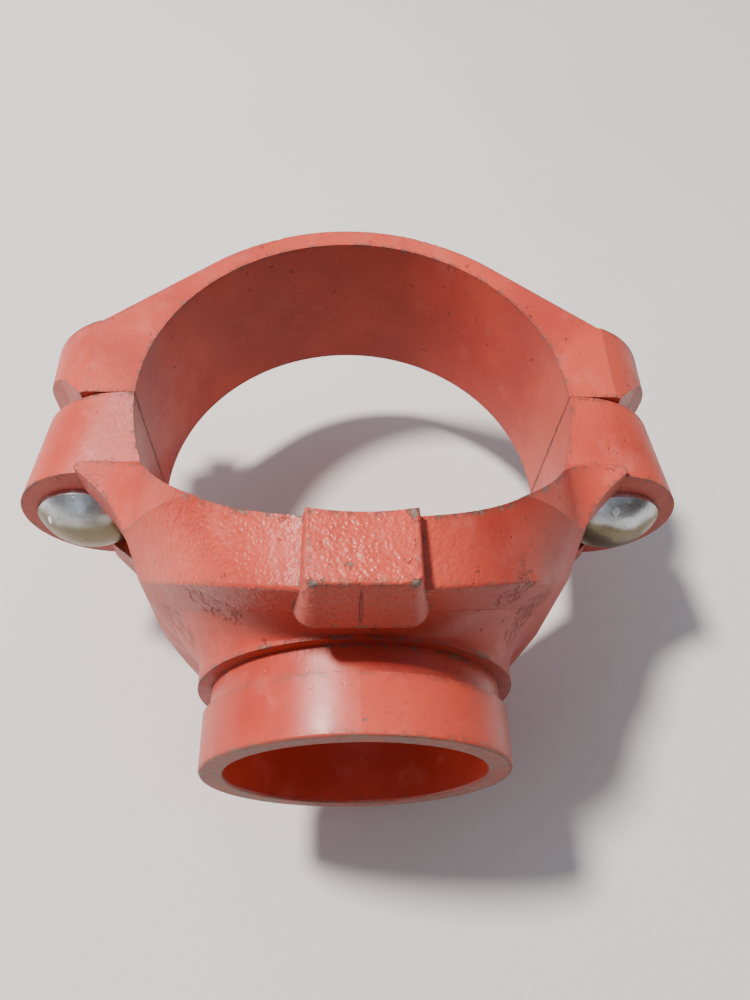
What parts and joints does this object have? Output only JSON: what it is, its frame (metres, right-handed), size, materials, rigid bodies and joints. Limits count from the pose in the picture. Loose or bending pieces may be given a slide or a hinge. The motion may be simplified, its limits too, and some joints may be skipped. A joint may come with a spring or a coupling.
{
  "type": "mechanical tee",
  "caption": "Mechanical tee with a grooved branch outlet on a saddle housing, a strap housing, oval-neck track bolts with hexagon nuts, and a hidden gasket.",
  "frame": {"origin": "on the axis of the run pipe, half way along the fitting, in the parting plane of the two housings", "axes": "+Z along the run pipe, -Y along the branch outlet away from the run pipe, +Y towards the strap housing, bolts parallel to Y at -X and +X"},
  "size_m": [0.2196, 0.193, 0.1528],
  "materials": {
    "paint": "semi-gloss orange-red paint on a cast surface",
    "zinc": "zinc plated, scratched",
    "rubber": "matt"
  },
  "bodies": {
    "branch": {"branch_housing": "paint", "saddle_gasket": "rubber", "bolt_left": "zinc", "bolt_right": "zinc"},
    "strap": {"strap_housing": "paint"},
    "left_nut": {"nut_left": "zinc"},
    "right_nut": {"nut_right": "zinc"}
  },
  "joints": [
    {"name": "strap_open", "type": "slide", "parent": "branch", "child": "strap", "axis": [0, 1, 0], "range_m": [0, 0.0161]},
    {"name": "nut_left_turn", "type": "hinge", "parent": "strap", "child": "left_nut", "pos_m": [-0.0885, 0.039, 0], "axis": [0, 1, 0], "range_deg": [0, 2520]},
    {"name": "nut_right_turn", "type": "hinge", "parent": "strap", "child": "right_nut", "pos_m": [0.0885, 0.039, 0], "axis": [0, 1, 0], "range_deg": [0, 2520]}
  ],
  "couplings": [
    {"joint": "nut_left_turn", "follows": "strap_open", "rad_per_m": 2721.1},
    {"joint": "nut_right_turn", "follows": "strap_open", "rad_per_m": 2721.1}
  ]
}
